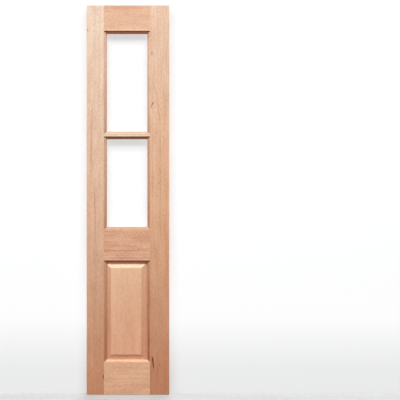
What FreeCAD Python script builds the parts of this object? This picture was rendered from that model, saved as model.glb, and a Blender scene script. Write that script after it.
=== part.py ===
import FreeCAD, Part
import math
import os
import sys

import Sketcher

# Door sidelight in hardwood: two open lights over a raised and fielded panel.
# X runs across the leaf, Y through its thickness with the front at minus Y, Z up.

SIZES = {
    "overall_height": 2032,
    "leaf_thickness": 44,
    "left_stile_width": 90,
    "right_stile_width": 100,
    "opening_width": 240,
    "top_rail_width": 133,
    "mid_rail_width": 161,
    "bottom_rail_width": 168,
    "panel_opening_height": 532,
    "bar_centre_height": 1354,
    "bar_flat_width": 12.5,
    "arris_ease": 1.2,
    "quirk_depth": 6,
    "quirk_width": 3,
    "ovolo_radius": 9.5,
    "lip_width": 1,
    "groove_width": 10,
    "groove_seat": 2.5,
    "panel_side_play": 5,
    "panel_top_play": 4,
    "panel_shift": 4.5,
    "panel_flat_margin": 5,
    "panel_bevel_width": 21,
    "panel_bevel_rise": 8.5,
    "field_step": 2.5,
    "tenon_thickness": 14,
    "top_tenon_shoulder": 12,
    "top_tenon_haunch": 42,
    "mid_tenon_shoulder": 36,
    "bottom_tenon_haunch": 42,
    "bottom_tenon_shoulder": 34,
    "haunch_depth": 10,
    "bar_tenon_length": 25,
    "bar_tenon_thickness": 8,
    "wedge_butt": 7,
    "mortise_throat": 12,
    "wedge_tip_gap": 18,
}


class Size:
    """A sheet size or a sum of them: the expression text and its present value."""

    def __init__(self, text, value):
        self.text = text
        self.value = value

    @staticmethod
    def of(item):
        return item if isinstance(item, Size) else Size(str(item), float(item))

    def __add__(self, other):
        other = Size.of(other)
        return Size(f"({self.text} + {other.text})", self.value + other.value)

    def __sub__(self, other):
        other = Size.of(other)
        return Size(f"({self.text} - {other.text})", self.value - other.value)

    def __mul__(self, factor):
        return Size(f"({self.text} * {factor})", self.value * factor)

    def __truediv__(self, factor):
        return Size(f"({self.text} / {factor})", self.value / factor)

    def __neg__(self):
        return Size(f"(0 - {self.text})", -self.value)


def size(alias):
    return Size(f"Sizes.{alias}", SIZES[alias])


doc = FreeCAD.newDocument("sidelight")
sheet = doc.addObject("Spreadsheet::Sheet", "Sizes")
for row, (alias, value) in enumerate(SIZES.items(), start=1):
    sheet.set(f"A{row}", alias)
    sheet.set(f"B{row}", str(value))
    sheet.setAlias(f"B{row}", alias)
doc.recompute()

height = size("overall_height")
half_thickness = size("leaf_thickness") / 2
half_groove = size("groove_width") / 2
sticking = size("quirk_width") + size("ovolo_radius") + size("lip_width")
half_width = (size("left_stile_width") + size("opening_width") + size("right_stile_width")) / 2

# Outer edges, and the flat lines where the mouldings start.
left_outer = -half_width
right_outer = half_width
left_flat = left_outer + size("left_stile_width")
right_flat = right_outer - size("right_stile_width")
panel_low = size("bottom_rail_width")
panel_high = panel_low + size("panel_opening_height")
lower_low = panel_high + size("mid_rail_width")
lower_high = size("bar_centre_height") - size("bar_flat_width") / 2
upper_low = size("bar_centre_height") + size("bar_flat_width") / 2
upper_high = height - size("top_rail_width")

OPENINGS = {
    "panel": (panel_low, panel_high),
    "lower_light": (lower_low, lower_high),
    "upper_light": (upper_low, upper_high),
}
# Low and high edge of each through tenon.
TENONS = {
    "top_rail": (upper_high + size("top_tenon_shoulder"), height - size("top_tenon_haunch")),
    "mid_rail": (
        panel_high + size("mid_tenon_shoulder"),
        lower_low - size("mid_tenon_shoulder"),
    ),
    "bottom_rail": (
        size("bottom_tenon_haunch"),
        panel_low - size("bottom_tenon_shoulder"),
    ),
}
# Low and high edge of the haunch beside each tenon that sits near an end of the leaf.
HAUNCHES = {
    "top_rail": (TENONS["top_rail"][1], height),
    "bottom_rail": (Size.of(0), TENONS["bottom_rail"][0]),
}
FRONT = -1
BACK = 1


def new_body(name):
    body = doc.addObject("PartDesign::Body", name)
    body.Label = name
    return body


def new_sketch(body, name, role, offset=None):
    """A sketch on one of the body's own planes, moved along its normal by offset."""
    sketch = body.newObject("Sketcher::SketchObject", name)
    plane = [item for item in body.Origin.OriginFeatures if item.Role == role][0]
    sketch.AttachmentSupport = [(plane, "")]
    sketch.MapMode = "FlatFace"
    if offset is not None:
        sketch.setExpression("AttachmentOffset.Base.z", offset.text)
    return sketch


def bind(sketch, kind, geometry, corner, amount):
    rule = Sketcher.Constraint(kind, -1, 1, geometry, corner, amount.value)
    index = sketch.addConstraint(rule)
    sketch.setExpression(f"Constraints[{index}]", amount.text)


def spot(pair):
    return FreeCAD.Vector(pair[0].value, pair[1].value, 0)


def add_outline(sketch, corners):
    """Closed straight-sided outline with every corner bound to sizes."""
    corners = [(Size.of(x), Size.of(y)) for x, y in corners]
    first = sketch.GeometryCount
    count = len(corners)
    for i in range(count):
        side = Part.LineSegment(spot(corners[i]), spot(corners[(i + 1) % count]))
        sketch.addGeometry(side)
    for i in range(count):
        after = first + (i + 1) % count
        sketch.addConstraint(Sketcher.Constraint("Coincident", first + i, 2, after, 1))
        bind(sketch, "DistanceX", first + i, 1, corners[i][0])
        bind(sketch, "DistanceY", first + i, 1, corners[i][1])


def add_rectangle(sketch, low_x, low_y, high_x, high_y):
    add_outline(sketch, [(low_x, low_y), (high_x, low_y), (high_x, high_y), (low_x, high_y)])


def quarter_round(centre, start, finish):
    """Quarter circle about centre, with the sketch's numbers for its two named ends."""
    begin = math.atan2(start.y - centre.y, start.x - centre.x)
    end = math.atan2(finish.y - centre.y, finish.x - centre.x)
    anticlockwise = math.sin(end - begin) > 0
    low = begin if anticlockwise else end
    circle = Part.Circle(centre, FreeCAD.Vector(0, 0, 1), start.distanceToPoint(centre))
    arc = Part.ArcOfCircle(circle, low, low + math.pi / 2)
    return (arc, 1, 2) if anticlockwise else (arc, 2, 1)


def add_moulding(sketch, base, outward, face, away_first):
    """Section of one cheek of the moulding: a quirk with a floor, a quarter round and a lip.

    base is the member's flat line and outward (+1 or -1) points away from the member;
    face is FRONT or BACK. away_first puts the distance from the member on the first axis.
    """
    quirk = half_thickness - size("quirk_depth")
    foot = quirk - size("ovolo_radius")

    def place(away, depth):
        away = base + away * outward
        depth = depth * face
        return (away, depth) if away_first else (depth, away)

    root = place(Size.of(0), half_groove)
    nook = place(Size.of(0), quirk)
    shoulder = place(size("quirk_width"), quirk)
    toe = place(size("quirk_width") + size("ovolo_radius"), foot)
    lip = place(sticking, foot)
    edge = place(sticking, half_groove)
    centre = place(size("quirk_width"), foot)
    first = sketch.GeometryCount
    corners = [root, nook, shoulder, toe, lip, edge]
    count = len(corners)
    for i in range(count):
        if corners[i] is shoulder:
            arc, near_end, far_end = quarter_round(spot(centre), spot(shoulder), spot(toe))
            sketch.addGeometry(arc)
        else:
            after = corners[(i + 1) % count]
            sketch.addGeometry(Part.LineSegment(spot(corners[i]), spot(after)))
    joins = [
        (first, 2, first + 1, 1),
        (first + 1, 2, first + 2, near_end),
        (first + 2, far_end, first + 3, 1),
        (first + 3, 2, first + 4, 1),
        (first + 4, 2, first + 5, 1),
        (first + 5, 2, first, 1),
    ]
    for one, one_end, other, other_end in joins:
        sketch.addConstraint(Sketcher.Constraint("Coincident", one, one_end, other, other_end))
    bound = [
        (0, 1, root), (0, 2, nook), (1, 2, shoulder),
        (3, 1, toe), (3, 2, lip), (4, 2, edge),
    ]
    for offset, corner, pair in bound:
        bind(sketch, "DistanceX", first + offset, corner, pair[0])
        bind(sketch, "DistanceY", first + offset, corner, pair[1])
    side = "DistanceX" if away_first else "DistanceY"
    bind(sketch, side, first + 2, 3, centre[0] if away_first else centre[1])


def pad(body, sketch, name, length, symmetric=False):
    feature = body.newObject("PartDesign::Pad", name)
    feature.Profile = sketch
    feature.SideType = "Symmetric" if symmetric else "One side"
    feature.setExpression("Length", length.text)
    return feature


def pocket(body, sketch, name, length):
    """Cut a sketch of the front view symmetrically about the middle of the thickness."""
    feature = body.newObject("PartDesign::Pocket", name)
    feature.Profile = sketch
    feature.SideType = "Symmetric"
    feature.setExpression("Length", length.text)
    return feature


def ease_edges(body, feature, wanted):
    """Chamfer the straight edges of a plain board whose middle point passes wanted."""
    doc.recompute()
    names = []
    for index, edge in enumerate(feature.Shape.Edges, start=1):
        if wanted(edge.CenterOfMass):
            names.append(f"Edge{index}")
    chamfer = body.newObject("PartDesign::Chamfer", "eased_edges")
    chamfer.Base = (feature, names)
    chamfer.setExpression("Size", size("arris_ease").text)
    body.Tip = chamfer
    doc.recompute()


def near(one, other):
    return abs(one - other.value) < 0.01


def on_face(point):
    return near(abs(point.y), half_thickness)


def build_board(body, low_x, low_z, high_x, high_z):
    sketch = new_sketch(body, "board_outline", "XZ_Plane")
    add_rectangle(sketch, low_x, low_z, high_x, high_z)
    return pad(body, sketch, "board", size("leaf_thickness"), symmetric=True)


def stile(name, outer, flat, outward):
    """Full-height side member with its mouldings, panel groove and mortises."""
    body = new_body(name)
    low_x, high_x = (outer, flat) if outward > 0 else (flat, outer)
    board = build_board(body, low_x, Size.of(0), high_x, height)

    def wanted(point):
        at_end = near(point.z, Size.of(0)) or near(point.z, height)
        at_side = near(point.x, outer)
        return (on_face(point) and (at_end or at_side)) or (at_end and at_side)

    ease_edges(body, board, wanted)
    for opening, (low, high) in OPENINGS.items():
        faces = (FRONT, BACK) if opening == "panel" else (FRONT,)
        section = new_sketch(body, f"{opening}_section", "XY_Plane", low)
        for face in faces:
            add_moulding(section, flat, outward, face, away_first=True)
        pad(body, section, f"{opening}_moulding", high - low)
    mitres = new_sketch(body, "mitre_outlines", "XZ_Plane")
    tip = flat + sticking * outward
    for low, high in OPENINGS.values():
        add_outline(mitres, [(flat, low), (tip, low), (tip, low + sticking)])
        add_outline(mitres, [(flat, high), (tip, high), (tip, high - sticking)])
    pocket(body, mitres, "mitres", size("leaf_thickness") * 2)
    groove = new_sketch(body, "groove_outline", "XZ_Plane")
    seat = size("groove_seat")
    floor = flat - seat * outward
    low_x, high_x = (floor, tip) if outward > 0 else (tip, floor)
    add_rectangle(groove, low_x, panel_low - seat, high_x, panel_high + seat)
    pocket(body, groove, "panel_groove", size("groove_width"))
    mortises = new_sketch(body, "mortise_outlines", "XZ_Plane")
    throat = flat - size("mortise_throat") * outward
    butt = size("wedge_butt")
    for low, high in TENONS.values():
        add_outline(mortises, [
            (flat, low), (throat, low), (outer, low - butt),
            (outer, high + butt), (throat, high), (flat, high),
        ])
    pocket(body, mortises, "mortises", size("tenon_thickness"))
    notches = new_sketch(body, "haunch_outlines", "XZ_Plane")
    notch_floor = flat - size("haunch_depth") * outward
    low_x, high_x = (notch_floor, flat) if outward > 0 else (flat, notch_floor)
    for low, high in HAUNCHES.values():
        add_rectangle(notches, low_x, low, high_x, high)
    pocket(body, notches, "haunch_notches", size("tenon_thickness"))
    socket = new_sketch(body, "bar_mortise_outline", "XZ_Plane")
    end = flat - size("bar_tenon_length") * outward
    low_x, high_x = (end, flat) if outward > 0 else (flat, end)
    half_bar = size("bar_flat_width") / 2
    centre = size("bar_centre_height")
    add_rectangle(socket, low_x, centre - half_bar, high_x, centre + half_bar)
    pocket(body, socket, "bar_mortises", size("bar_tenon_thickness"))


def cross_member(name, low, high, mouldings, tenon, thickness, groove=None):
    """Horizontal member between the stiles with mouldings, mitres and tenons.

    mouldings lists (flat line, direction, faces). tenon is a box low and high in X and Z.
    groove is the pair of heights between which the panel's groove is cut. A member in
    HAUNCHES also has a short haunch beside each tenon.
    """
    body = new_body(name)
    board = build_board(body, left_flat, low, right_flat, high)
    if near(high.value, height) or near(low.value, Size.of(0)):
        end = height if near(high.value, height) else Size.of(0)
        ease_edges(body, board, lambda point: on_face(point) and near(point.z, end))
    tip_left = left_flat + sticking
    tip_right = right_flat - sticking
    mitres = []
    for line, direction, faces in mouldings:
        edge_name = "upper" if direction > 0 else "lower"
        section = new_sketch(body, f"{edge_name}_section", "YZ_Plane", left_flat)
        for face in faces:
            add_moulding(section, line, direction, face, away_first=False)
        pad(body, section, f"{edge_name}_moulding", size("opening_width"))
        tip = line + sticking * direction
        mitres.append([(left_flat, line), (left_flat, tip), (tip_left, tip)])
        mitres.append([(right_flat, line), (right_flat, tip), (tip_right, tip)])
    corners = new_sketch(body, "mitre_outlines", "XZ_Plane")
    for outline in mitres:
        add_outline(corners, outline)
    pocket(body, corners, "mitres", size("leaf_thickness") * 2)
    if groove:
        slot = new_sketch(body, "groove_outline", "XZ_Plane")
        add_rectangle(slot, left_flat, groove[0], right_flat, groove[1])
        pocket(body, slot, "panel_groove", size("groove_width"))
    tongue = new_sketch(body, "tenon_outline", "XZ_Plane")
    add_rectangle(tongue, tenon[0], tenon[1], tenon[2], tenon[3])
    pad(body, tongue, "tenons", thickness, symmetric=True)
    if name in HAUNCHES:
        haunch_low, haunch_high = HAUNCHES[name]
        reach = size("haunch_depth")
        stub = new_sketch(body, "haunch_outline", "XZ_Plane")
        add_rectangle(stub, left_flat - reach, haunch_low, right_flat + reach, haunch_high)
        pad(body, stub, "haunches", thickness, symmetric=True)


def raised_panel(name):
    """Panel with a flat tongue, a wide bevel and a small step up to its field."""
    body = new_body(name)
    seat = size("groove_seat")
    shift = size("panel_shift")
    sides = (
        left_flat - seat + size("panel_side_play") - shift,
        right_flat + seat - size("panel_side_play") - shift,
    )
    low = panel_low - seat
    high = panel_high + seat - size("panel_top_play")
    margin = sticking + size("panel_flat_margin")
    inner = (
        left_flat + margin - shift,
        panel_low + margin,
        right_flat - margin - shift,
        panel_high - margin,
    )
    bevel = size("panel_bevel_width")
    field = (inner[0] + bevel, inner[1] + bevel, inner[2] - bevel, inner[3] - bevel)
    outline = new_sketch(body, "tongue_outline", "XZ_Plane")
    add_rectangle(outline, sides[0], low, sides[1], high)
    pad(body, outline, "tongue", size("groove_width"), symmetric=True)
    top = half_groove + size("panel_bevel_rise")
    for side_name, toward in (("front", 1), ("back", -1)):
        foot = new_sketch(body, f"{side_name}_foot", "XZ_Plane", half_groove * toward)
        add_rectangle(foot, *inner)
        head = new_sketch(body, f"{side_name}_head", "XZ_Plane", top * toward)
        add_rectangle(head, *field)
        slope = body.newObject("PartDesign::AdditiveLoft", f"{side_name}_bevel")
        slope.Profile = foot
        slope.Sections = [head]
        slope.Ruled = True
    plate = new_sketch(body, "field_outline", "XZ_Plane")
    add_rectangle(plate, *field)
    thick = (top + size("field_step")) * 2
    pad(body, plate, "field", thick, symmetric=True)


def glazing_bead(name, line, outward, span, upright):
    """Loose bead behind a light, mitred at both ends, with the back cheek's section."""
    body = new_body(name)
    low, high = span
    if upright:
        section = new_sketch(body, "bead_section", "XY_Plane", low)
    else:
        section = new_sketch(body, "bead_section", "YZ_Plane", low)
    add_moulding(section, line, outward, BACK, away_first=upright)
    pad(body, section, "bead", high - low)
    tip = line + sticking * outward
    ends = [
        [(line, low), (tip, low), (tip, low + sticking)],
        [(line, high), (tip, high), (tip, high - sticking)],
    ]
    corners = new_sketch(body, "mitre_outlines", "XZ_Plane")
    for outline in ends:
        if not upright:
            outline = [(z, x) for x, z in outline]
        add_outline(corners, outline)
    pocket(body, corners, "mitres", size("leaf_thickness") * 2)


def wedge(name, outer, outward, flare, edge, direction):
    """Tapered wedge between a tenon and the flared end of its mortise."""
    body = new_body(name)
    length = flare - size("wedge_tip_gap")
    tip = outer + length * outward
    # The tip keeps the flare's slope, so its width is the gap's share of the butt.
    width = Size(
        f"({size('wedge_butt').text} * {size('wedge_tip_gap').text} / {flare.text})",
        size("wedge_butt").value * size("wedge_tip_gap").value / flare.value,
    )
    outline = new_sketch(body, "wedge_outline", "XZ_Plane")
    add_outline(outline, [
        (outer, edge), (tip, edge), (tip, edge + width * direction),
        (outer, edge + size("wedge_butt") * direction),
    ])
    pad(body, outline, "wedge", size("tenon_thickness"), symmetric=True)


stile("left_stile", left_outer, left_flat, 1)
stile("right_stile", right_outer, right_flat, -1)

seat = size("groove_seat")
half_bar = size("bar_flat_width") / 2
bar_centre = size("bar_centre_height")
bar_reach = size("bar_tenon_length")
through = {
    rail: (left_outer, low, right_outer, high)
    for rail, (low, high) in TENONS.items()
}
cross_member(
    "top_rail", upper_high, height, [(upper_high, -1, (FRONT,))],
    through["top_rail"], size("tenon_thickness"),
)
cross_member(
    "glazing_bar", lower_high, upper_low,
    [(upper_low, 1, (FRONT,)), (lower_high, -1, (FRONT,))],
    (left_flat - bar_reach, bar_centre - half_bar, right_flat + bar_reach, bar_centre + half_bar),
    size("bar_tenon_thickness"),
)
cross_member(
    "mid_rail", panel_high, lower_low,
    [(lower_low, 1, (FRONT,)), (panel_high, -1, (FRONT, BACK))],
    through["mid_rail"], size("tenon_thickness"),
    groove=(panel_high - sticking, panel_high + seat),
)
cross_member(
    "bottom_rail", Size.of(0), panel_low, [(panel_low, 1, (FRONT, BACK))],
    through["bottom_rail"], size("tenon_thickness"),
    groove=(panel_low - seat, panel_low + sticking),
)
raised_panel("panel")

for light in ("upper_light", "lower_light"):
    low, high = OPENINGS[light]
    glazing_bead(f"{light}_left_bead", left_flat, 1, (low, high), upright=True)
    glazing_bead(f"{light}_right_bead", right_flat, -1, (low, high), upright=True)
    glazing_bead(f"{light}_bottom_bead", low, 1, (left_flat, right_flat), upright=False)
    glazing_bead(f"{light}_top_bead", high, -1, (left_flat, right_flat), upright=False)

for rail, (low, high) in TENONS.items():
    for side_name, outer, outward in (("left", left_outer, 1), ("right", right_outer, -1)):
        flare = size(f"{side_name}_stile_width") - size("mortise_throat")
        wedge(f"{rail}_{side_name}_lower_wedge", outer, outward, flare, low, -1)
        wedge(f"{rail}_{side_name}_upper_wedge", outer, outward, flare, high, 1)

doc.recompute()

faults = []
bodies = [item for item in doc.Objects if item.isDerivedFrom("PartDesign::Body")]
for item in doc.Objects:
    if "Invalid" in item.State or "Error" in item.State:
        faults.append(f"{item.Label}: {item.State}")
for body in bodies:
    if body.Shape.isNull() or not body.Shape.isValid() or len(body.Shape.Solids) != 1:
        faults.append(f"{body.Label}: not one sound solid")
if faults:
    print("\n".join(faults))
    sys.exit(1)

os.makedirs("parts", exist_ok=True)
for body in bodies:
    body.Shape.exportStep(f"parts/{body.Label}.step")
    box = body.Shape.BoundBox
    print(f"{body.Label}: {box.XLength:.1f} x {box.YLength:.1f} x {box.ZLength:.1f} mm")
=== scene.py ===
"""Dresses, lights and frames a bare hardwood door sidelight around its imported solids.

The leaf stands upright: X runs across it, Y through its thickness with the front at
minus Y, and Z up. Every length is in metres.
"""
import logging
import math
from dataclasses import dataclass
from enum import Enum

import bpy
import numpy as np
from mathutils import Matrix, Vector


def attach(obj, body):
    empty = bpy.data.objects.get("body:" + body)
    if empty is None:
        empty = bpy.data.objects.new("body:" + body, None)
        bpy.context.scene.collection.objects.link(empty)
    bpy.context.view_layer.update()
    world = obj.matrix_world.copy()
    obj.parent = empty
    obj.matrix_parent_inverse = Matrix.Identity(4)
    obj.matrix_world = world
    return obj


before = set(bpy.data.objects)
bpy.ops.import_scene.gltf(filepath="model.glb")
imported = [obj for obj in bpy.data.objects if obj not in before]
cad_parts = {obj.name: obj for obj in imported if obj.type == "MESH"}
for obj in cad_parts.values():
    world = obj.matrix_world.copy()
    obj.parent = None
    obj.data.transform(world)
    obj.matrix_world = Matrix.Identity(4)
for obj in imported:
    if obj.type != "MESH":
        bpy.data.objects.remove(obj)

LOG = logging.getLogger("sidelight")
Colour = tuple[float, float, float]
Point = tuple[float, float, float]
Ramp = tuple[tuple[float, float], ...]
PLAIN: Colour = (1.0, 1.0, 1.0)
LEAF_HEIGHT = 2.032
# Noise runs about a quarter either side of its middle.
NOISE_SPREAD = 2.0


def greys(tones: Ramp) -> list[tuple[float, Colour]]:
    """Colour stops with the same value in all three channels."""
    return [(place, (tone, tone, tone)) for place, tone in tones]


def even(tone: Colour) -> tuple[Colour, Colour, Colour]:
    """Tones of a board that is the same colour from foot to head."""
    return (tone, tone, tone)


class Grain(Enum):
    """Which way the fibres of a board run."""

    UPRIGHT = "Z"
    LEVEL = "X"


class Signal:
    """One output socket of a node tree, with arithmetic that adds Math nodes."""

    def __init__(self, bench: "Bench", socket: bpy.types.NodeSocket | None) -> None:
        """Wrap a socket.

        Args:
            bench: the node tree that the socket belongs to.
            socket: the output socket that carries the value.
        """
        self.bench = bench
        self.socket = socket

    def _math(self, operation: str, *terms: "Signal | float", clamp: bool = False) -> "Signal":
        """Add one Math node.

        Args:
            operation: the Math node's operation.
            terms: its inputs in order, signals or numbers.
            clamp: whether the result is held between 0 and 1.

        Returns:
            The node's result.
        """
        settings = {"operation": operation, "use_clamp": clamp}
        return self.bench.node("ShaderNodeMath", settings, dict(enumerate(terms)))

    def __add__(self, other: "Signal | float") -> "Signal":
        """Sum."""
        return self._math("ADD", self, other)

    __radd__ = __add__

    def __sub__(self, other: "Signal | float") -> "Signal":
        """Difference."""
        return self._math("SUBTRACT", self, other)

    def __rsub__(self, other: float) -> "Signal":
        """Difference from a number."""
        return self._math("SUBTRACT", other, self)

    def __mul__(self, other: "Signal | float") -> "Signal":
        """Product."""
        return self._math("MULTIPLY", self, other)

    __rmul__ = __mul__

    def __truediv__(self, other: "Signal | float") -> "Signal":
        """Quotient."""
        return self._math("DIVIDE", self, other)

    def __rtruediv__(self, other: float) -> "Signal":
        """Quotient of a number and the value."""
        return self._math("DIVIDE", other, self)

    def __neg__(self) -> "Signal":
        """Value with its sign turned."""
        return self._math("SUBTRACT", 0.0, self)

    def __abs__(self) -> "Signal":
        """Absolute value."""
        return self._math("ABSOLUTE", self)

    def clamped(self) -> "Signal":
        """Value held between 0 and 1."""
        return self._math("ADD", self, 0.0, clamp=True)

    def spread(self) -> "Signal":
        """Noise around 0 stretched to a share between 0 and 1."""
        return (self * NOISE_SPREAD + 0.5).clamped()

    def root(self) -> "Signal":
        """Square root."""
        return self._math("SQRT", self)

    def below(self, limit: float, softness: float) -> "Signal":
        """Mask that is 1 well under a limit and falls to 0 over a soft edge.

        Args:
            limit: the value at which the mask is half gone.
            softness: the width of the soft edge.

        Returns:
            The mask, between 0 and 1.
        """
        return ((limit - self) / softness + 0.5).clamped()


class Bench:
    """A node tree and the few ways in which this script adds to it."""

    def __init__(self, owner: bpy.types.Material | bpy.types.World) -> None:
        """Empty the owner's node tree and get ready to fill it.

        Args:
            owner: the material or world that the nodes are for.
        """
        owner.use_nodes = True
        self.owner = owner
        self.tree = owner.node_tree
        self.tree.nodes.clear()

    def node(
        self,
        kind: str,
        settings: dict[str, object] | None = None,
        inputs: dict[int | str, object] | None = None,
        output: int | str = 0,
    ) -> Signal:
        """Add one node, set it up and connect it.

        Args:
            kind: the node's type.
            settings: the node's own properties; "stops" fills a colour ramp.
            inputs: values or signals by socket name or number.
            output: the output socket that the result wraps.

        Returns:
            The chosen output.
        """
        made = self.tree.nodes.new(kind)
        for key, value in (settings or {}).items():
            if key == "stops":
                self._fill_ramp(made.color_ramp, value)
            else:
                setattr(made, key, value)
        for key, value in (inputs or {}).items():
            socket = made.inputs[key]
            if isinstance(value, Signal):
                self.tree.links.new(value.socket, socket)
            else:
                socket.default_value = value
        return Signal(self, made.outputs[output] if made.outputs else None)

    @staticmethod
    def _fill_ramp(ramp: bpy.types.ColorRamp, stops: list[tuple[float, Colour]]) -> None:
        """Give a ramp its stops.

        Args:
            ramp: the ramp to fill.
            stops: place and colour of each stop, in rising order.
        """
        while len(ramp.elements) < len(stops):
            ramp.elements.new(1.0)
        for element, (place, colour) in zip(ramp.elements, stops):
            element.position = place
            element.color = (*colour, 1.0)

    @staticmethod
    def _colour(item: Signal | Colour) -> object:
        """A colour with its alpha, or the signal itself."""
        return item if isinstance(item, Signal) else (*item, 1.0)

    def mix(self, share: Signal | float, first: Signal | Colour, second: Signal | Colour) -> Signal:
        """Blend two colours.

        Args:
            share: how much of the second colour shows.
            first: colour at share 0.
            second: colour at share 1.

        Returns:
            The blended colour.
        """
        inputs = {0: share, 6: self._colour(first), 7: self._colour(second)}
        return self.node("ShaderNodeMix", {"data_type": "RGBA"}, inputs, output=2)

    def ramp(self, place: Signal, stops: list[tuple[float, Colour]]) -> Signal:
        """Read a colour between the given stops.

        Args:
            place: where to read, between 0 and 1.
            stops: place and colour of each stop, in rising order.

        Returns:
            The colour.
        """
        return self.node("ShaderNodeValToRGB", {"stops": stops}, {0: place})

    def tinted(self, first: Signal, second: Signal | Colour) -> Signal:
        """Multiply two colours channel by channel."""
        settings = {"operation": "MULTIPLY"}
        return self.node("ShaderNodeVectorMath", settings, {0: first, 1: second})

    def vector(self, x: Signal | float, y: Signal | float, z: Signal | float) -> Signal:
        """Join three values into a vector."""
        return self.node("ShaderNodeCombineXYZ", None, {0: x, 1: y, 2: z})

    def split(self, vector: Signal) -> tuple[Signal, Signal, Signal]:
        """Take a vector apart.

        Args:
            vector: the vector.

        Returns:
            Its three values.
        """
        kind = "ShaderNodeSeparateXYZ"
        x, y, z = (self.node(kind, None, {0: vector}, i) for i in range(3))
        return x, y, z

    def noise(self, place: Signal, detail: float = 0.0, roughness: float = 0.5) -> Signal:
        """Smooth noise around 0.

        Args:
            place: the point to read, already scaled.
            detail: octaves above the first.
            roughness: strength of each octave against the one before.

        Returns:
            The noise value, mostly between -0.25 and 0.25.
        """
        inputs = {"Vector": place, "Scale": 1.0, "Detail": detail, "Roughness": roughness}
        return self.node("ShaderNodeTexNoise", {"noise_dimensions": "3D"}, inputs) - 0.5

    def background_rays(self) -> Signal:
        """Tell the rays that see the white surroundings from those that only light by them.

        Returns:
            The mask, 1 for camera, glossy and transmission rays.
        """
        names = ("Is Camera Ray", "Is Glossy Ray", "Is Transmission Ray")
        camera, glossy, through = (self.node("ShaderNodeLightPath", output=n) for n in names)
        return (camera + glossy + through).clamped()


# Half sizes under which a mark is small, and how fast it fades with depth, a metre.
SMALL_MARK = (0.008, 0.05)
MARK_FADE = 60.0


@dataclass(frozen=True)
class Streak:
    """A fleck, resin mark or pale line in a board, fading at its rim.

    lean is how far the mark moves across for each metre of height. A higher crisp
    gives a harder rim. Small marks lie in the front face, and others go through. Thin
    bands along the mouldings are painted shadow in quirks and corners, painted shade on
    lips and painted highlight along arrises.
    """

    across: float
    height: float
    half_across: float
    half_height: float
    tint: Colour
    lean: float = 0.0
    crisp: float = 1.0

    def is_small(self) -> bool:
        """Whether the mark is a fleck or a resin mark and not a band of the board."""
        across, height = SMALL_MARK
        return self.half_across < across and self.half_height < height


@dataclass(frozen=True)
class FibreNoise:
    """Noise drawn out along the fibres of a board.

    across, depth and along are its cells in a metre each way, and detail its finer
    octaves. share is how much it adds to the light and dark of the grain.
    """

    across: float
    depth: float
    along: float
    detail: float = 0.0
    share: float = 0.0

    def place(self, bench: Bench, across: Signal, depth: Signal, along: Signal) -> Signal:
        """Point of the board, counted in the noise's cells."""
        return bench.vector(across * self.across, depth * self.depth, along * self.along)

    def read(self, bench: Bench, across: Signal, depth: Signal, along: Signal) -> Signal:
        """Noise at a point of the board, around 0."""
        return bench.noise(self.place(bench, across, depth, along), self.detail)


# The noises of every board, the grain's first, and the open vessels' cells.
FIBRES = FibreNoise(900.0, 900.0, 24.0, 3.0, 0.40)
DASHES = FibreNoise(210.0, 210.0, 80.0, 1.0, 0.62)
RIBBONS = FibreNoise(120.0, 60.0, 9.0, 1.0, 0.30)
PATCHES = FibreNoise(26.0, 26.0, 8.0, 0.0, 0.28)
FLUSHES = FibreNoise(34.0, 34.0, 9.0, 1.0)
SWAYS = FibreNoise(4.0, 4.0, 1.6, 1.0)
VESSELS = FibreNoise(1400.0, 1400.0, 85.0)
WANDERS = FibreNoise(90.0, 90.0, 70.0, 2.0)
# How far noise of full height moves the marks, the figure and the pith, in metres.
WANDER_REACH = 0.008
SWAY_REACH = 0.012
PITH_SWAY = 0.03
# Growth bands, by their distance from the pith.
BANDS_PER_METRE = 170.0
BAND_DRIFT = 0.5
BAND_DETAIL = 2.0
BAND_SHARE = 0.35
# A pore's half width and soft rim, as shares of a vessel's cell.
PORE_SIZE = 0.22
PORE_RIM = 0.12


@dataclass(frozen=True)
class Turn:
    """Soft choice of faces by one part of their normal: how far it is past start, times pace."""

    start: float
    pace: float

    def mask(self, part: Signal) -> Signal:
        """Mask of the chosen faces, between 0 and 1."""
        return ((part - self.start) * self.pace).clamped()


END_FACE = Turn(0.8, 8.0)
OUT_OF_SQUARE = Turn(0.02, 20.0)
SLANTED_FACE = Turn(0.15, 5.0)


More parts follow.
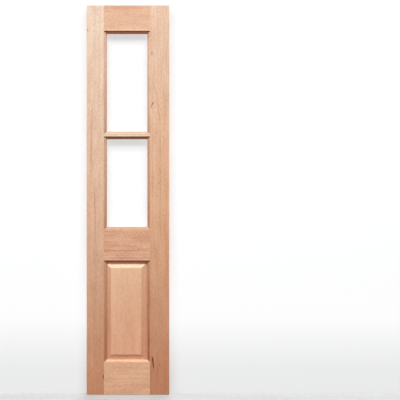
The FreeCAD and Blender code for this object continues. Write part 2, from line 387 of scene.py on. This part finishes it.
@dataclass(frozen=True)
class BareTimber:
    """Planed and sanded hardwood without a finish.

    tones are the board's colours at the foot, middle and head, whose heights run from
    low to high; where they pale towards the head, that is partly the wood's own tone and
    partly painted light for the light falling off down the leaf. pith is the tree's centre
    across and behind the board: the growth bands lie round it, so they show as arcs on the
    ends and as long figure on the faces. contrast scales the light and dark of the grain.
    side, above and below tint the moulded faces that are turned sideways, up or down, as
    painted shade and painted highlight for how the light falls on them. seed_steps are how
    far the pattern moves across, through and along the board for each step of the seed.

    The grain runs from dark_grain to light_grain, and red_flush and brown_flush tint its
    large soft patches. fibre_effect and pore_effect are how strongly the fibres and the
    open pores work on relief, tint and marks, and fibre_matt and pore_matt are what they
    add to the roughness.
    """

    name: str
    grain: Grain
    seed: float
    tones: tuple[Colour, Colour, Colour]
    pith: tuple[float, float]
    low: float = 0.0
    high: float = LEAF_HEIGHT
    contrast: float = 1.0
    # side, above and below are painted shade and painted highlight by the way a moulded face is
    # turned.
    side: Colour = (0.86, 0.78, 0.74)
    above: Colour = PLAIN
    below: Colour = (0.93, 0.58, 0.47)
    streaks: tuple[Streak, ...] = ()
    seed_steps: tuple[float, float, float] = (1.37, 0.53, 2.91)
    dark_grain: Colour = (0.76, 0.65, 0.57)
    light_grain: Colour = (1.24, 1.36, 1.46)
    red_flush: Colour = (1.02, 0.985, 0.98)
    brown_flush: Colour = (0.985, 1.01, 1.01)
    pore_shade: Colour = (0.52, 0.40, 0.33)
    end_shade: Colour = (0.74, 0.66, 0.60)
    fibre_effect: float = 0.6
    pore_effect: float = 0.5
    fibre_matt: float = 0.3
    pore_matt: float = 0.1
    roughness: float = 0.46
    gloss: float = 0.28
    relief: float = 0.0003
    relief_strength: float = 0.3

    def material(self) -> bpy.types.Material:
        """Build the material.

        Returns:
            A material that reads Object coordinates, so the pattern runs through the
            solid and shows as rings and pores on the end grain.
        """
        bench = Bench(bpy.data.materials.new(self.name))
        x, y, z = bench.split(bench.node("ShaderNodeTexCoord", output="Object"))
        along, across = (z, x) if self.grain is Grain.UPRIGHT else (x, z)
        shifts = (self.seed * step for step in self.seed_steps)
        point = tuple(way + shift for way, shift in zip((across, y, along), shifts))

        fibre = FIBRES.read(bench, *point)
        figure, pores = self._figure(bench, point, fibre)
        # Tone by height: partly the wood's own, partly painted light that pales the head and
        # darkens the foot.
        level = ((z - self.low) / (self.high - self.low)).clamped()
        colour = bench.ramp(level, list(zip((0.0, 0.5, 1.0), self.tones)))
        colour = bench.tinted(colour, bench.mix(figure, self.dark_grain, self.light_grain))
        flush = FLUSHES.read(bench, *point).spread()
        colour = bench.tinted(colour, bench.mix(flush, self.red_flush, self.brown_flush))
        shaded = pores * self.pore_effect
        colour = bench.tinted(colour, bench.mix(shaded, PLAIN, self.pore_shade))
        wander = WANDERS.read(bench, x, y, z) * WANDER_REACH
        front = (0.5 - y * MARK_FADE).clamped()
        ragged = fibre * self.fibre_effect
        for streak in self.streaks:
            share = front if streak.is_small() else 1.0
            colour = self._with_streak(bench, colour, streak, (x + wander, z), ragged, share)
        # Painted light and shade on the turned faces, with the darker end grain.
        colour = bench.tinted(colour, self._end_grain_and_painted_light(bench))

        bump = {
            "Strength": self.relief_strength,
            "Distance": self.relief,
            "Height": fibre * self.fibre_effect - pores * self.pore_effect,
        }
        inputs = {
            "Base Color": colour,
            "Roughness": fibre * self.fibre_matt + pores * self.pore_matt + self.roughness,
            "Specular IOR Level": self.gloss,
            "Normal": bench.node("ShaderNodeBump", None, bump),
        }
        surface = bench.node("ShaderNodeBsdfPrincipled", None, inputs)
        bench.node("ShaderNodeOutputMaterial", None, {"Surface": surface})
        return bench.owner

    def _figure(
        self, bench: Bench, point: tuple[Signal, Signal, Signal], fibre: Signal
    ) -> tuple[Signal, Signal]:
        """Light and dark of the grain.

        The bands are noise read at the distance from the pith, which wanders slowly
        along the board: r = sqrt((across - pith0)^2 + (depth - pith1)^2).

        Args:
            bench: the material.
            point: position across, through and along the board.
            fibre: fine noise along the grain.

        Returns:
            The figure, 0.5 on average, and the mask of the open pores.
        """
        across, depth, along = point
        sway = SWAYS.read(bench, across, depth, along)
        bent = across + sway * SWAY_REACH
        side = bent - (self.seed * self.seed_steps[0] + self.pith[0]) + sway * PITH_SWAY
        behind = depth - (self.seed * self.seed_steps[1] + self.pith[1])
        radius = (side * side + behind * behind).root()
        ring = bench.vector(radius * BANDS_PER_METRE, along * BAND_DRIFT, self.seed)
        bands = bench.noise(ring, BAND_DETAIL)
        cells = {"Vector": VESSELS.place(bench, across, depth, along), "Scale": 1.0}
        gap = bench.node("ShaderNodeTexVoronoi", {"feature": "F1"}, cells)
        pores = gap.below(PORE_SIZE, PORE_RIM)
        uneven = (
            PATCHES.read(bench, across, depth, along) * PATCHES.share
            + RIBBONS.read(bench, bent, depth, along) * RIBBONS.share
            + DASHES.read(bench, bent, depth, along) * DASHES.share
            + bands * BAND_SHARE
            + fibre * FIBRES.share
        )
        return (uneven * self.contrast + 0.5).clamped(), pores

    def _end_grain_and_painted_light(self, bench: Bench) -> Signal:
        """Tint the faces that do not lie in the board's plane.

        The ends are darker, where the cut opens the fibres. Bevels and mouldings turned
        sideways, up or down take painted shade or painted highlight by the way they face,
        standing in for how the light falls on them, and square edges stay plain.

        Args:
            bench: the material.

        Returns:
            The tint, plain on the board's own faces.
        """
        x, y, z = bench.split(bench.node("ShaderNodeNewGeometry", output="True Normal"))
        end = abs(z if self.grain is Grain.UPRIGHT else x)
        tint = bench.mix(END_FACE.mask(end), PLAIN, self.end_shade)
        slanted = OUT_OF_SQUARE.mask(abs(y))
        for part, colour in ((abs(x), self.side), (z, self.above), (-z, self.below)):
            share = SLANTED_FACE.mask(part) * slanted
            tint = bench.tinted(tint, bench.mix(share, PLAIN, colour))
        return tint

    @staticmethod
    def _with_streak(
        bench: Bench,
        colour: Signal,
        streak: Streak,
        place: tuple[Signal, Signal],
        ragged: Signal,
        share: Signal | float,
    ) -> Signal:
        """Lay one streak over the colour.

        The mask is 1 minus the squared distance from the streak's middle, counted in its
        half sizes, times crisp, broken up a little by the fibres and held between 0 and 1.

        Args:
            bench: the material.
            colour: what the streak lies over.
            streak: its place, size and tint.
            place: position across the leaf, made to wander a little, and height.
            ragged: noise that breaks up the streak's rim.
            share: how much of the streak shows at this depth.

        Returns:
            The colour with the streak.
        """
        x, z = place
        rise = z - streak.height
        over = (x - streak.across - rise * streak.lean) / streak.half_across
        up = rise / streak.half_height
        mask = ((1.0 - over * over - up * up) * streak.crisp + ragged).clamped() * share
        return bench.tinted(colour, bench.mix(mask, PLAIN, streak.tint))


@dataclass
class Member:
    """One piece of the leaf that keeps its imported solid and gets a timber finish.

    ease is the width of its softened arrises, which are the edges where two faces turn
    by more than arris_turn. Points nearer than weld_reach count as one.
    """

    node: str
    material: bpy.types.Material
    ease: float = 0.0004
    arris_turn: float = math.radians(35)
    arris_steps: int = 2
    weld_reach: float = 1e-6

    def dress(self) -> bpy.types.Object:
        """Give the solid its material and slightly softened arrises.

        Returns:
            The dressed object.
        """
        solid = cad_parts[self.node]
        for slot in solid.material_slots:
            slot.material = self.material
        weld = solid.modifiers.new("weld", "WELD")
        weld.merge_threshold = self.weld_reach
        soften = solid.modifiers.new("arris", "BEVEL")
        soften.width = self.ease
        soften.segments = self.arris_steps
        soften.limit_method = "ANGLE"
        soften.angle_limit = self.arris_turn
        soften.harden_normals = True
        LOG.info("dressed %s in %s", self.node, self.material.name)
        return solid


@dataclass(frozen=True)
class DullSteel:
    """Bare steel of a small pin head, greyed and unevenly dulled by handling."""

    name: str = "dull_steel"
    bright: Colour = (0.46, 0.45, 0.43)
    dull: Colour = (0.25, 0.23, 0.21)
    patches_per_metre: float = 900.0
    patch_detail: float = 2.0
    roughness: float = 0.35
    dull_matt: float = 0.25

    def material(self) -> bpy.types.Material:
        """Build the material.

        Returns:
            A metal whose tone and roughness vary from head to head and over each one.
        """
        bench = Bench(bpy.data.materials.new(self.name))
        place = bench.node("ShaderNodeTexCoord", output="Object")
        cells = bench.tinted(place, (self.patches_per_metre,) * 3)
        wear = bench.noise(cells, self.patch_detail).spread()
        inputs = {
            "Base Color": bench.mix(wear, self.bright, self.dull),
            "Metallic": 1.0,
            "Roughness": wear * self.dull_matt + self.roughness,
        }
        surface = bench.node("ShaderNodeBsdfPrincipled", None, inputs)
        bench.node("ShaderNodeOutputMaterial", None, {"Surface": surface})
        return bench.owner


@dataclass
class BeadPins:
    """Heads of the pins that hold the loose beads of one light, on the back.

    profile gives a head's rings above its foot, which is sunk into the bead: their radii
    and heights as shares of head_radius and head_height, up to the crown at share 1.
    """

    light: str
    material: bpy.types.Material
    quirk_width: float = 0.003
    round_radius: float = 0.0095
    lean: float = math.radians(35)
    head_radius: float = 0.0009
    head_height: float = 0.0002
    profile: Ramp = ((1.0, 0.25), (0.75, 0.9))
    sunk: float = 0.0004
    end_gap: float = 0.045
    spacing: float = 0.15
    steps: int = 16

    def _seats(self, side: str) -> tuple[np.ndarray, np.ndarray, np.ndarray]:
        """Find where the heads of one bead sit.

        A head's middle lies on the bead's quarter round, turned by lean from the back
        towards the opening: quirk_width + radius * sin(lean) in from the bead's outer
        side and radius * (1 - cos(lean)) below its top.

        Args:
            side: left, right, bottom or top.

        Returns:
            The middles of the heads, the direction along the bead and the direction out
            of its surface.
        """
        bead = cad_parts[f"{self.light}_{side}_bead"]
        corners = np.array([tuple(bead.matrix_world @ Vector(c)) for c in bead.bound_box])
        low, high = corners.min(axis=0), corners.max(axis=0)
        run, across = (2, 0) if side in ("left", "right") else (0, 2)
        inward = 1.0 if side in ("left", "bottom") else -1.0
        outer = low[across] if inward > 0 else high[across]
        span = high[run] - low[run] - 2 * self.end_gap
        count = 1 + max(1, round(span / self.spacing))
        seats = np.zeros((count, 3))
        seats[:, run] = low[run] + self.end_gap + np.linspace(0.0, span, count)
        reach = self.quirk_width + self.round_radius * math.sin(self.lean)
        seats[:, across] = outer + inward * reach
        seats[:, 1] = high[1] - self.round_radius * (1 - math.cos(self.lean))
        out = np.zeros(3)
        out[across], out[1] = inward * math.sin(self.lean), math.cos(self.lean)
        return seats, np.eye(3)[run], out

    def _head(self, along: np.ndarray, out: np.ndarray) -> np.ndarray:
        """Work out the points of one head around its seat.

        The head is a turned profile of radius r and height h:
        p = r * cos(a) * along + r * sin(a) * aside + h * out. The middle of its foot and
        the tip of its crown come after the rings.

        Args:
            along: direction along the bead.
            out: direction out of the bead's surface.

        Returns:
            The points, one row each.
        """
        radii = np.array([1.0, *(width for width, _ in self.profile)]) * self.head_radius
        rises = np.array([height for _, height in self.profile]) * self.head_height
        heights = np.array([-self.sunk, *rises])
        turn = np.linspace(0.0, math.tau, self.steps, endpoint=False)[:, None]
        aside = np.cross(out, along)
        circle = np.cos(turn) * along + np.sin(turn) * aside
        rings = radii[:, None, None] * circle + heights[:, None, None] * out
        return np.concatenate([rings.reshape(-1, 3), [-self.sunk * out, self.head_height * out]])

    def _faces(self) -> tuple[np.ndarray, np.ndarray]:
        """Number the corners of one head's faces, outwards.

        Returns:
            The quads from ring to ring, and the triangles that close crown and foot.
        """
        here = np.arange(self.steps)
        after = np.roll(here, -1)
        top_ring = len(self.profile) * self.steps
        low = np.arange(0, top_ring, self.steps)[:, None]
        high = low + self.steps
        quads = np.stack([low + here, low + after, high + after, high + here], axis=-1)
        foot = np.full(self.steps, top_ring + self.steps)
        crown_fan = np.stack([top_ring + here, top_ring + after, foot + 1], axis=-1)
        foot_fan = np.stack([after, here, foot], axis=-1)
        return quads.reshape(-1, 4), np.concatenate([crown_fan, foot_fan])

    def build(self) -> bpy.types.Object:
        """Make all the heads of the light as one piece, each at its seat.

        Returns:
            The new piece, riding on the leaf.
        """
        groups: list[np.ndarray] = []
        for side in ("left", "right", "bottom", "top"):
            seats, along, out = self._seats(side)
            groups.append(seats[:, None] + self._head(along, out))
        heads = np.concatenate(groups)
        first = np.arange(len(heads))[:, None, None] * heads.shape[1]
        quads, fans = (first + corners for corners in self._faces())
        faces = quads.reshape(-1, 4).tolist() + fans.reshape(-1, 3).tolist()
        mesh = bpy.data.meshes.new(f"{self.light}_pins")
        mesh.from_pydata(heads.reshape(-1, 3).tolist(), [], faces)
        mesh.materials.append(self.material)
        mesh.shade_smooth()
        made = bpy.data.objects.new(mesh.name, mesh)
        bpy.context.scene.collection.objects.link(made)
        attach(made, "root")
        LOG.info("built %s", made.name)
        return made


@dataclass
class Backdrop:
    """White wall close behind the leaf and the pale floor that it stands on.

    Part of what the camera sees of the wall is a plain white or grey glow, whatever falls
    on it, which paints the leaf's shadows soft and pale. The ramps give, by height in shares
    of ramp_height, the paint's tone, that plain tone and how much of it shows, which is
    more right under the bar and the top rail to paint the shadows there paler. The paint's
    cool cast balances the warm light that comes off the timber. Far from the leaf both
    sheets fade into the white surroundings.
    """

    wall_place: float = 0.030
    wall_half_span: float = 5.0
    wall_height: float = 7.0
    floor_half_span: float = 7.0
    fade_from: float = 1.6
    fade_over: float = 3.2
    ramp_height: float = 2.1
    paint: Ramp = ((0.05, 0.93), (0.18, 0.99), (0.40, 0.99), (0.97, 0.81))
    cast: Colour = (0.985, 0.996, 1.0)
    plain: Ramp = ((0.06, 0.832), (0.19, 1.0))
    plain_share: Ramp = (
        (0.05, 0.48), (0.17, 0.75), (0.24, 0.75), (0.38, 0.48),
        (0.598, 0.48), (0.616, 0.60), (0.640, 0.60), (0.655, 0.48),
        (0.860, 0.48), (0.878, 0.59), (0.905, 0.59), (0.920, 0.48),
    )
    floor: Colour = (0.417, 0.418, 0.419)
    mottles_per_metre: float = 3.0
    mottle_lift: float = 1.03
    cells: int = 8

    @staticmethod
    def _sheet(name: str, corner: Point, run: Point, rise: Point, steps: int) -> bpy.types.Object:
        """Flat grid whose points are the corner plus shares u and v of two edges.

        Args:
            name: the object's name.
            corner: first corner.
            run: the edge along which u grows.
            rise: the edge along which v grows; the face looks along run cross rise.
            steps: cells each way.

        Returns:
            The new object, linked to the scene.
        """
        share = np.linspace(0.0, 1.0, steps + 1)
        u, v = (axis.ravel()[:, None] for axis in np.meshgrid(share, share))
        points = np.array(corner) + u * np.array(run) + v * np.array(rise)
        base = (np.arange(steps)[:, None] * (steps + 1) + np.arange(steps)).ravel()
        faces = np.stack([base, base + 1, base + steps + 2, base + steps + 1], axis=1)
        mesh = bpy.data.meshes.new(name)
        mesh.from_pydata(points.tolist(), [], faces.tolist())
        made = bpy.data.objects.new(name, mesh)
        bpy.context.scene.collection.objects.link(made)
        return made

    def _wall_material(self) -> bpy.types.Material:
        """White paint that fades to pale grey near the floor and shows from its front only.

        Returns:
            The material.
        """
        bench = Bench(bpy.data.materials.new("white_wall"))
        x, _, z = bench.split(bench.node("ShaderNodeTexCoord", output="Object"))
        height = z / self.ramp_height
        tones = (self.paint, self.plain, self.plain_share)
        paint, plain, share = (bench.ramp(height, greys(tone)) for tone in tones)
        matt = bench.node("ShaderNodeBsdfDiffuse", None, {"Color": bench.tinted(paint, self.cast)})
        # A plain glow seen by the camera, which paints the leaf's shadows on the wall paler.
        glow = bench.node("ShaderNodeEmission", None, {"Color": plain, "Strength": 1.0})
        lift = share * bench.background_rays()
        front = bench.node("ShaderNodeMixShader", None, {0: lift, 1: matt, 2: glow})
        seen = self._one_sided(bench, self._fading(bench, front, abs(x)))
        bench.node("ShaderNodeOutputMaterial", None, {"Surface": seen})
        return bench.owner

    def _floor_material(self) -> bpy.types.Material:
        """Pale grey paint with the faint mottle of a studio floor, clear from below.

        Returns:
            The material.
        """
        bench = Bench(bpy.data.materials.new("pale_floor"))
        place = bench.node("ShaderNodeTexCoord", output="Object")
        mottle = bench.noise(bench.tinted(place, (self.mottles_per_metre,) * 3)) + 0.5
        lifted = tuple(part * self.mottle_lift for part in self.floor)
        colour = bench.mix(mottle, self.floor, lifted)
        paint = bench.node("ShaderNodeBsdfDiffuse", None, {"Color": colour})
        x, y, _ = bench.split(place)
        seen = self._one_sided(bench, self._fading(bench, paint, (x * x + y * y).root()))
        bench.node("ShaderNodeOutputMaterial", None, {"Surface": seen})
        return bench.owner

    @staticmethod
    def _one_sided(bench: Bench, surface: Signal) -> Signal:
        """Let a surface show from its front and be clear from behind.

        Args:
            bench: the material.
            surface: the shader of the front.

        Returns:
            The shader of both sides.
        """
        clear = bench.node("ShaderNodeBsdfTransparent")
        behind = bench.node("ShaderNodeNewGeometry", output="Backfacing")
        return bench.node("ShaderNodeMixShader", None, {0: behind, 1: surface, 2: clear})

    def _fading(self, bench: Bench, surface: Signal, distance: Signal) -> Signal:
        """Let a surface turn into the white surroundings far from the leaf.

        Args:
            bench: the material.
            surface: the shader near the leaf.
            distance: how far the point is from the leaf.

        Returns:
            The shader with its fading.
        """
        share = ((distance - self.fade_from) / self.fade_over).clamped() * bench.background_rays()
        white = bench.node("ShaderNodeEmission", None, {"Color": (*PLAIN, 1.0), "Strength": 1.0})
        return bench.node("ShaderNodeMixShader", None, {0: share, 1: surface, 2: white})

    def build(self) -> None:
        """Make the wall and the floor and keep them out of shadow and bounce rays."""
        reach = self.wall_half_span
        corner, across = (-reach, self.wall_place, 0.0), (reach * 2, 0.0, 0.0)
        wall = self._sheet("wall", corner, across, (0.0, 0.0, self.wall_height), self.cells)
        wall.data.materials.append(self._wall_material())
        reach = self.floor_half_span
        corner, across = (-reach, -reach, 0.0), (reach * 2, 0.0, 0.0)
        floor = self._sheet("floor", corner, across, (0.0, reach * 2, 0.0), self.cells)
        floor.data.materials.append(self._floor_material())
        for sheet in (wall, floor):
            sheet.visible_shadow = False
            sheet.visible_diffuse = False
        LOG.info("built the wall and the floor")


@dataclass(frozen=True)
class Lamp:
    """A soft rectangular lamp aimed at the middle of the leaf."""

    name: str
    place: Point
    width: float
    depth: float
    power: float
    aim: Point = (0.0, 0.0, 1.0)

    def hang(self) -> bpy.types.Object:
        """Add the lamp to the scene.

        Returns:
            The lamp.
        """
        data = bpy.data.lights.new(self.name, "AREA")
        data.shape = "RECTANGLE"
        data.size = self.width
        data.size_y = self.depth
        data.energy = self.power
        lamp = bpy.data.objects.new(self.name, data)
        lamp.location = self.place
        aim = Vector(self.aim) - Vector(self.place)
        lamp.rotation_mode = "QUATERNION"
        lamp.rotation_quaternion = aim.to_track_quat("-Z", "Y")
        bpy.context.scene.collection.objects.link(lamp)
        return lamp


@dataclass
class Studio:
    """A long soft lamp above and in front, others for the unseen sides, and a dome.

    The dome lights mostly from in front and above: it dims below the horizon, right
    overhead, to the sides and behind. To the camera and in reflections it is plain white.
    It brightens from ground to sky over sky_span, which starts at sky_start. A pace is
    how fast a dimming grows with the direction, and a loss is the share of the light
    that it takes in the end.
    """

    sky: float = 0.75
    ground: float = 0.50
    sky_start: float = -0.3
    sky_span: float = 0.9
    side_pace: float = 1.8
    side_loss: float = 0.75
    top_start: float = 0.75
    top_pace: float = 4.0
    top_loss: float = 0.8
    rear_pace: float = 2.0
    rear_loss: float = 0.7
    lamps: tuple[Lamp, ...] = (
        Lamp("key", (0.0, -5.3, 6.9), 11.0, 3.4, 1020.0),
        Lamp("back", (0.2, 3.4, 3.0), 1.6, 1.7, 165.0),
        Lamp("left", (-3.3, 0.5, 2.5), 1.2, 2.0, 58.0),
        Lamp("right", (3.3, 0.5, 2.5), 1.2, 2.0, 58.0),
    )

    def light(self) -> None:
        """Set up the world and the lamps."""
        world = bpy.data.worlds.new("studio")
        bench = Bench(world)
        x, y, z = bench.split(bench.node("ShaderNodeTexCoord", output="Generated"))
        rising = ((z - self.sky_start) / self.sky_span).clamped()
        ahead = 1.0 - (abs(x) * self.side_pace).clamped() * self.side_loss
        open_top = 1.0 - ((z - self.top_start) * self.top_pace).clamped() * self.top_loss
        rear = 1.0 - (y * self.rear_pace).clamped() * self.rear_loss
        strength = (rising * (self.sky - self.ground) + self.ground) * ahead * open_top * rear
        dome = bench.node("ShaderNodeBackground", None, {"Strength": strength})
        white = bench.node("ShaderNodeBackground", None, {"Color": (*PLAIN, 1.0), "Strength": 1.0})
        rays = bench.background_rays()
        blend = bench.node("ShaderNodeMixShader", None, {0: rays, 1: dome, 2: white})
        bench.node("ShaderNodeOutputWorld", None, {"Surface": blend})
        bpy.context.scene.world = world
        for lamp in self.lamps:
            lamp.hang()
        LOG.info("hung %d lamps", len(self.lamps))


@dataclass(frozen=True)
class Viewpoint:
    """Camera that looks straight at the front face, with the leaf left of the middle.

    The frame is a square whose side at the front face is frame_width.
    """

    frame_width: float = 2.0876
    middle_across: float = 0.3764
    middle_height: float = 1.0159
    distance: float = 7.5
    front_face: float = -0.022
    sensor: float = 36.0

    def place(self) -> None:
        """Create the camera and make it the scene's own."""
        data = bpy.data.cameras.new("camera")
        data.sensor_width = self.sensor
        data.lens = self.sensor * self.distance / self.frame_width
        camera = bpy.data.objects.new("camera", data)
        camera.location = (
            self.middle_across,
            self.front_face - self.distance,
            self.middle_height,
        )
        camera.rotation_euler = (math.pi / 2, 0.0, 0.0)
        bpy.context.scene.collection.objects.link(camera)
        bpy.context.scene.camera = camera
        LOG.info("placed the camera")


FLECK: Colour = (0.66, 0.52, 0.45)
FAINT: Colour = (0.86, 0.78, 0.74)
PINK: Colour = (0.95, 0.88, 0.87)
# Painted shadow in the quirks under the rails and the bar.
QUIRK_SHADOW: Colour = (0.64, 0.30, 0.16)
# Where a board's tones pale towards its head, that is partly painted light for the light falling
# off down the leaf.
TIMBERS: dict[str, BareTimber] = {
    "left_stile": BareTimber(
        name="left_stile_timber",
        grain=Grain.UPRIGHT,
        seed=1.0,
        tones=((0.545, 0.24, 0.125), (0.67, 0.42, 0.28), (0.69, 0.52, 0.395)),
        pith=(0.03, 0.10),
        contrast=1.05,
        # Painted shade on the moulding turned sideways.
        side=(0.80, 0.70, 0.65),
        streaks=(
            Streak(-0.195, 1.491, 0.004, 0.008, (1.06, 1.16, 1.30), 0.0, 2.0),
            Streak(-0.210, 1.903, 0.005, 0.010, (0.82, 0.72, 0.64), 0.0, 2.0),
            Streak(-0.150, 0.700, 0.002, 0.007, FLECK, 0.0, 3.0),
            Streak(-0.161, 0.731, 0.002, 0.006, FLECK, 0.0, 3.0),
            Streak(-0.128, 0.095, 0.003, 0.014, (0.42, 0.31, 0.26), 0.0, 3.0),
            # Painted shade down the quirk, and on the moulding's lip beside the lower light.
            Streak(-0.1235, 1.000, 0.003, 3.000, (0.88, 0.80, 0.74)),
            Streak(-0.1115, 1.060, 0.004, 0.300, (0.72, 0.62, 0.58)),
            Streak(-0.135, 1.900, 0.008, 0.200, (1.04, 1.05, 1.06)),
            Streak(-0.190, 1.330, 0.006, 0.300, FAINT, 0.02),
            Streak(-0.172, 0.930, 0.005, 0.220, FAINT, -0.02),
        ),
    ),
    "right_stile": BareTimber(
        name="right_stile_timber",
        grain=Grain.UPRIGHT,
        seed=2.0,
        tones=((0.505, 0.207, 0.105), (0.67, 0.39, 0.24), (0.645, 0.44, 0.315)),
        pith=(-0.04, 0.13),
        contrast=1.3,
        # Painted shade on the moulding turned sideways.
        side=(0.82, 0.73, 0.68),
        streaks=(
            Streak(0.122, 1.778, 0.002, 0.013, FLECK, 0.35, 2.0),
            Streak(0.127, 1.783, 0.002, 0.010, FLECK, -0.40, 2.0),
            Streak(0.128, 1.519, 0.003, 0.013, (0.42, 0.28, 0.23), 0.35, 2.5),
            Streak(0.122, 1.503, 0.005, 0.008, (0.78, 0.56, 0.48)),
            Streak(0.146, 1.580, 0.004, 0.050, FAINT, -0.27),
            Streak(0.161, 1.480, 0.004, 0.080, FAINT, -0.10),
            Streak(0.169, 1.080, 0.004, 0.360, FAINT),
            Streak(0.194, 1.090, 0.034, 0.460, (0.985, 0.94, 0.91)),
            Streak(0.149, 1.368, 0.002, 0.006, FLECK, 0.0, 3.0),
            Streak(0.160, 1.102, 0.002, 0.007, FLECK, 0.0, 3.0),
            Streak(0.131, 1.971, 0.018, 0.012, PINK, 0.5),
            # Painted light on the moulding beside the upper light.
            Streak(0.108, 1.600, 0.006, 0.260, (1.14, 1.30, 1.42)),
            Streak(0.132, 0.168, 0.006, 0.042, (0.80, 0.70, 0.62), -0.08),
            Streak(0.132, 0.166, 0.0026, 0.035, (0.30, 0.18, 0.12), -0.08, 3.0),
            Streak(0.127, 0.185, 0.002, 0.016, (0.40, 0.28, 0.22), -0.10, 3.0),
            Streak(0.166, 0.156, 0.002, 0.009, FLECK, 0.0, 3.0),
            # Painted shade down the quirk, and on the moulding's lip beside the lower light.
            Streak(0.1130, 0.750, 0.003, 0.900, (0.86, 0.77, 0.72)),
            Streak(0.1020, 1.060, 0.004, 0.300, (0.84, 0.78, 0.76)),
        ),
    ),
    "top_rail": BareTimber(
        name="top_rail_timber",
        grain=Grain.LEVEL,
        seed=3.0,
        tones=even((0.64, 0.385, 0.255)),
        pith=(0.02, 0.12),
        # Painted warm shade on the moulding turned down.
        below=(1.02, 0.61, 0.50),
        streaks=(
            Streak(0.01, 2.020, 0.13, 0.012, PINK),
            Streak(0.02, 1.985, 0.10, 0.005, PINK),
            # Painted highlight along the arris above the moulding, and painted shadow in the quirk
            # below it.
            Streak(0.0, 1.9055, 0.6, 0.0035, (1.12, 1.22, 1.24)),
            Streak(0.0, 1.8960, 0.6, 0.0040, QUIRK_SHADOW),
        ),
    ),
    "glazing_bar": BareTimber(
        name="glazing_bar_timber",
        grain=Grain.LEVEL,
        seed=4.0,
        tones=even((0.665, 0.463, 0.315)),
        pith=(0.0, 0.10),
        # Painted shade on the moulding turned up.
        above=(0.76, 0.80, 0.80),
        streaks=(
            # Painted highlight along the lower arris, and painted shadow in the quirk below it.
            Streak(0.0, 1.3525, 0.6, 0.0050, (1.22, 1.22, 1.22)),
            Streak(0.0, 1.3440, 0.6, 0.0040, QUIRK_SHADOW),
        ),
    ),
    "mid_rail": BareTimber(
        name="mid_rail_timber",
        grain=Grain.LEVEL,
        seed=5.0,
        tones=even((0.655, 0.355, 0.222)),
        pith=(0.01, 0.09),
        contrast=1.9,
        # Painted shade on the moulding turned up, and painted light and shade on the one turned
        # down.
        above=(0.78, 0.80, 0.76),
        below=(1.20, 0.90, 0.82),
        streaks=(
            # Painted shade on the lip of the upper moulding.
            Streak(0.0, 0.8735, 0.6, 0.0020, (0.76, 0.78, 0.76)),
            Streak(0.0, 0.7510, 0.30, 0.0075, (0.86, 0.78, 0.79)),
            Streak(0.0, 0.7250, 0.30, 0.0100, (1.08, 1.10, 1.17)),
            Streak(-0.117, 0.744, 0.004, 0.003, FLECK, 0.0, 2.0),
            # Painted highlight along the lower arris, and painted shadow in the quirk below it.
            Streak(0.0, 0.7055, 0.6, 0.0035, (1.10, 1.13, 1.24)),
            Streak(0.0, 0.6965, 0.6, 0.0045, QUIRK_SHADOW),
        ),
    ),
    "bottom_rail": BareTimber(
        name="bottom_rail_timber",
        grain=Grain.LEVEL,
        seed=6.0,
        tones=even((0.73, 0.41, 0.253)),
        pith=(0.03, 0.14),
        contrast=1.25,
        # Painted sheen on the moulding turned up.
        above=(0.93, 1.18, 1.28),
        streaks=(
            Streak(0.03, 0.053, 0.12, 0.006, PINK),
            Streak(0.0, 0.006, 0.30, 0.014, (1.0, 0.95, 0.90)),
        ),
    ),
    "panel": BareTimber(
        name="panel_timber",
        grain=Grain.UPRIGHT,
        seed=7.0,
        tones=((0.74, 0.38, 0.233), (0.74, 0.41, 0.255), (0.785, 0.50, 0.315)),
        pith=(0.0, 0.12),
        low=0.17,
        high=0.70,
        contrast=0.8,
        # Painted shade on the side bevels, painted highlight on the top bevel and painted light on
        # the bottom one.
        side=(0.87, 0.79, 0.75),
        above=(1.06, 1.20, 1.24),
        below=(1.20, 1.14, 1.05),
        streaks=(
            # Painted shade at the foot of the top bevel, and in the corners beside the stiles'
            # mouldings.
            Streak(0.0, 0.6625, 0.14, 0.0030, (0.86, 0.82, 0.80)),
            Streak(0.097, 0.440, 0.008, 0.900, (0.72, 0.62, 0.58)),
            Streak(-0.107, 0.440, 0.004, 0.900, (0.84, 0.80, 0.78)),
        ),
    ),
}
# The beads' tones pale towards the head, partly as painted light for the light falling off down the
# leaf.
BEADS: dict[Grain, BareTimber] = {
    Grain.UPRIGHT: BareTimber(
        name="upright_bead_timber",
        grain=Grain.UPRIGHT,
        seed=8.0,
        tones=((0.62, 0.36, 0.22), (0.66, 0.42, 0.28), (0.66, 0.44, 0.31)),
        pith=(0.0, 0.08),
    ),
    Grain.LEVEL: BareTimber(
        name="level_bead_timber",
        grain=Grain.LEVEL,
        seed=9.0,
        tones=((0.62, 0.36, 0.22), (0.66, 0.42, 0.28), (0.66, 0.43, 0.30)),
        pith=(0.0, 0.08),
    ),
}
# The wedges' tones pale towards the head, partly as painted light for the light falling off down
# the leaf.
WEDGE = BareTimber(
    name="wedge_timber",
    grain=Grain.LEVEL,
    seed=10.0,
    tones=((0.56, 0.31, 0.18), (0.58, 0.35, 0.22), (0.58, 0.36, 0.23)),
    pith=(0.0, 0.06),
)


def timber_for(node: str) -> BareTimber:
    """Choose the finish of a piece by its name.

    Args:
        node: the piece's name.

    Returns:
        Its board, or the finish that the beads or the wedges share.
    """
    if node.endswith("_wedge"):
        return WEDGE
    if node.endswith("_bead"):
        upright = "left" in node or "right" in node
        return BEADS[Grain.UPRIGHT if upright else Grain.LEVEL]
    return TIMBERS[node]


def main() -> None:
    """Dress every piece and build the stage."""
    logging.basicConfig(level=logging.INFO, format="%(message)s")
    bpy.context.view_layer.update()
    bpy.context.scene.view_settings.view_transform = "Standard"
    finishes: dict[str, bpy.types.Material] = {}
    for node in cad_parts:
        timber = timber_for(node)
        if timber.name not in finishes:
            finishes[timber.name] = timber.material()
        Member(node, finishes[timber.name]).dress()
    steel = DullSteel().material()
    for light in ("upper_light", "lower_light"):
        BeadPins(light, steel).build()
    Backdrop().build()
    Studio().light()
    Viewpoint().place()


if __name__ == "__main__":
    main()
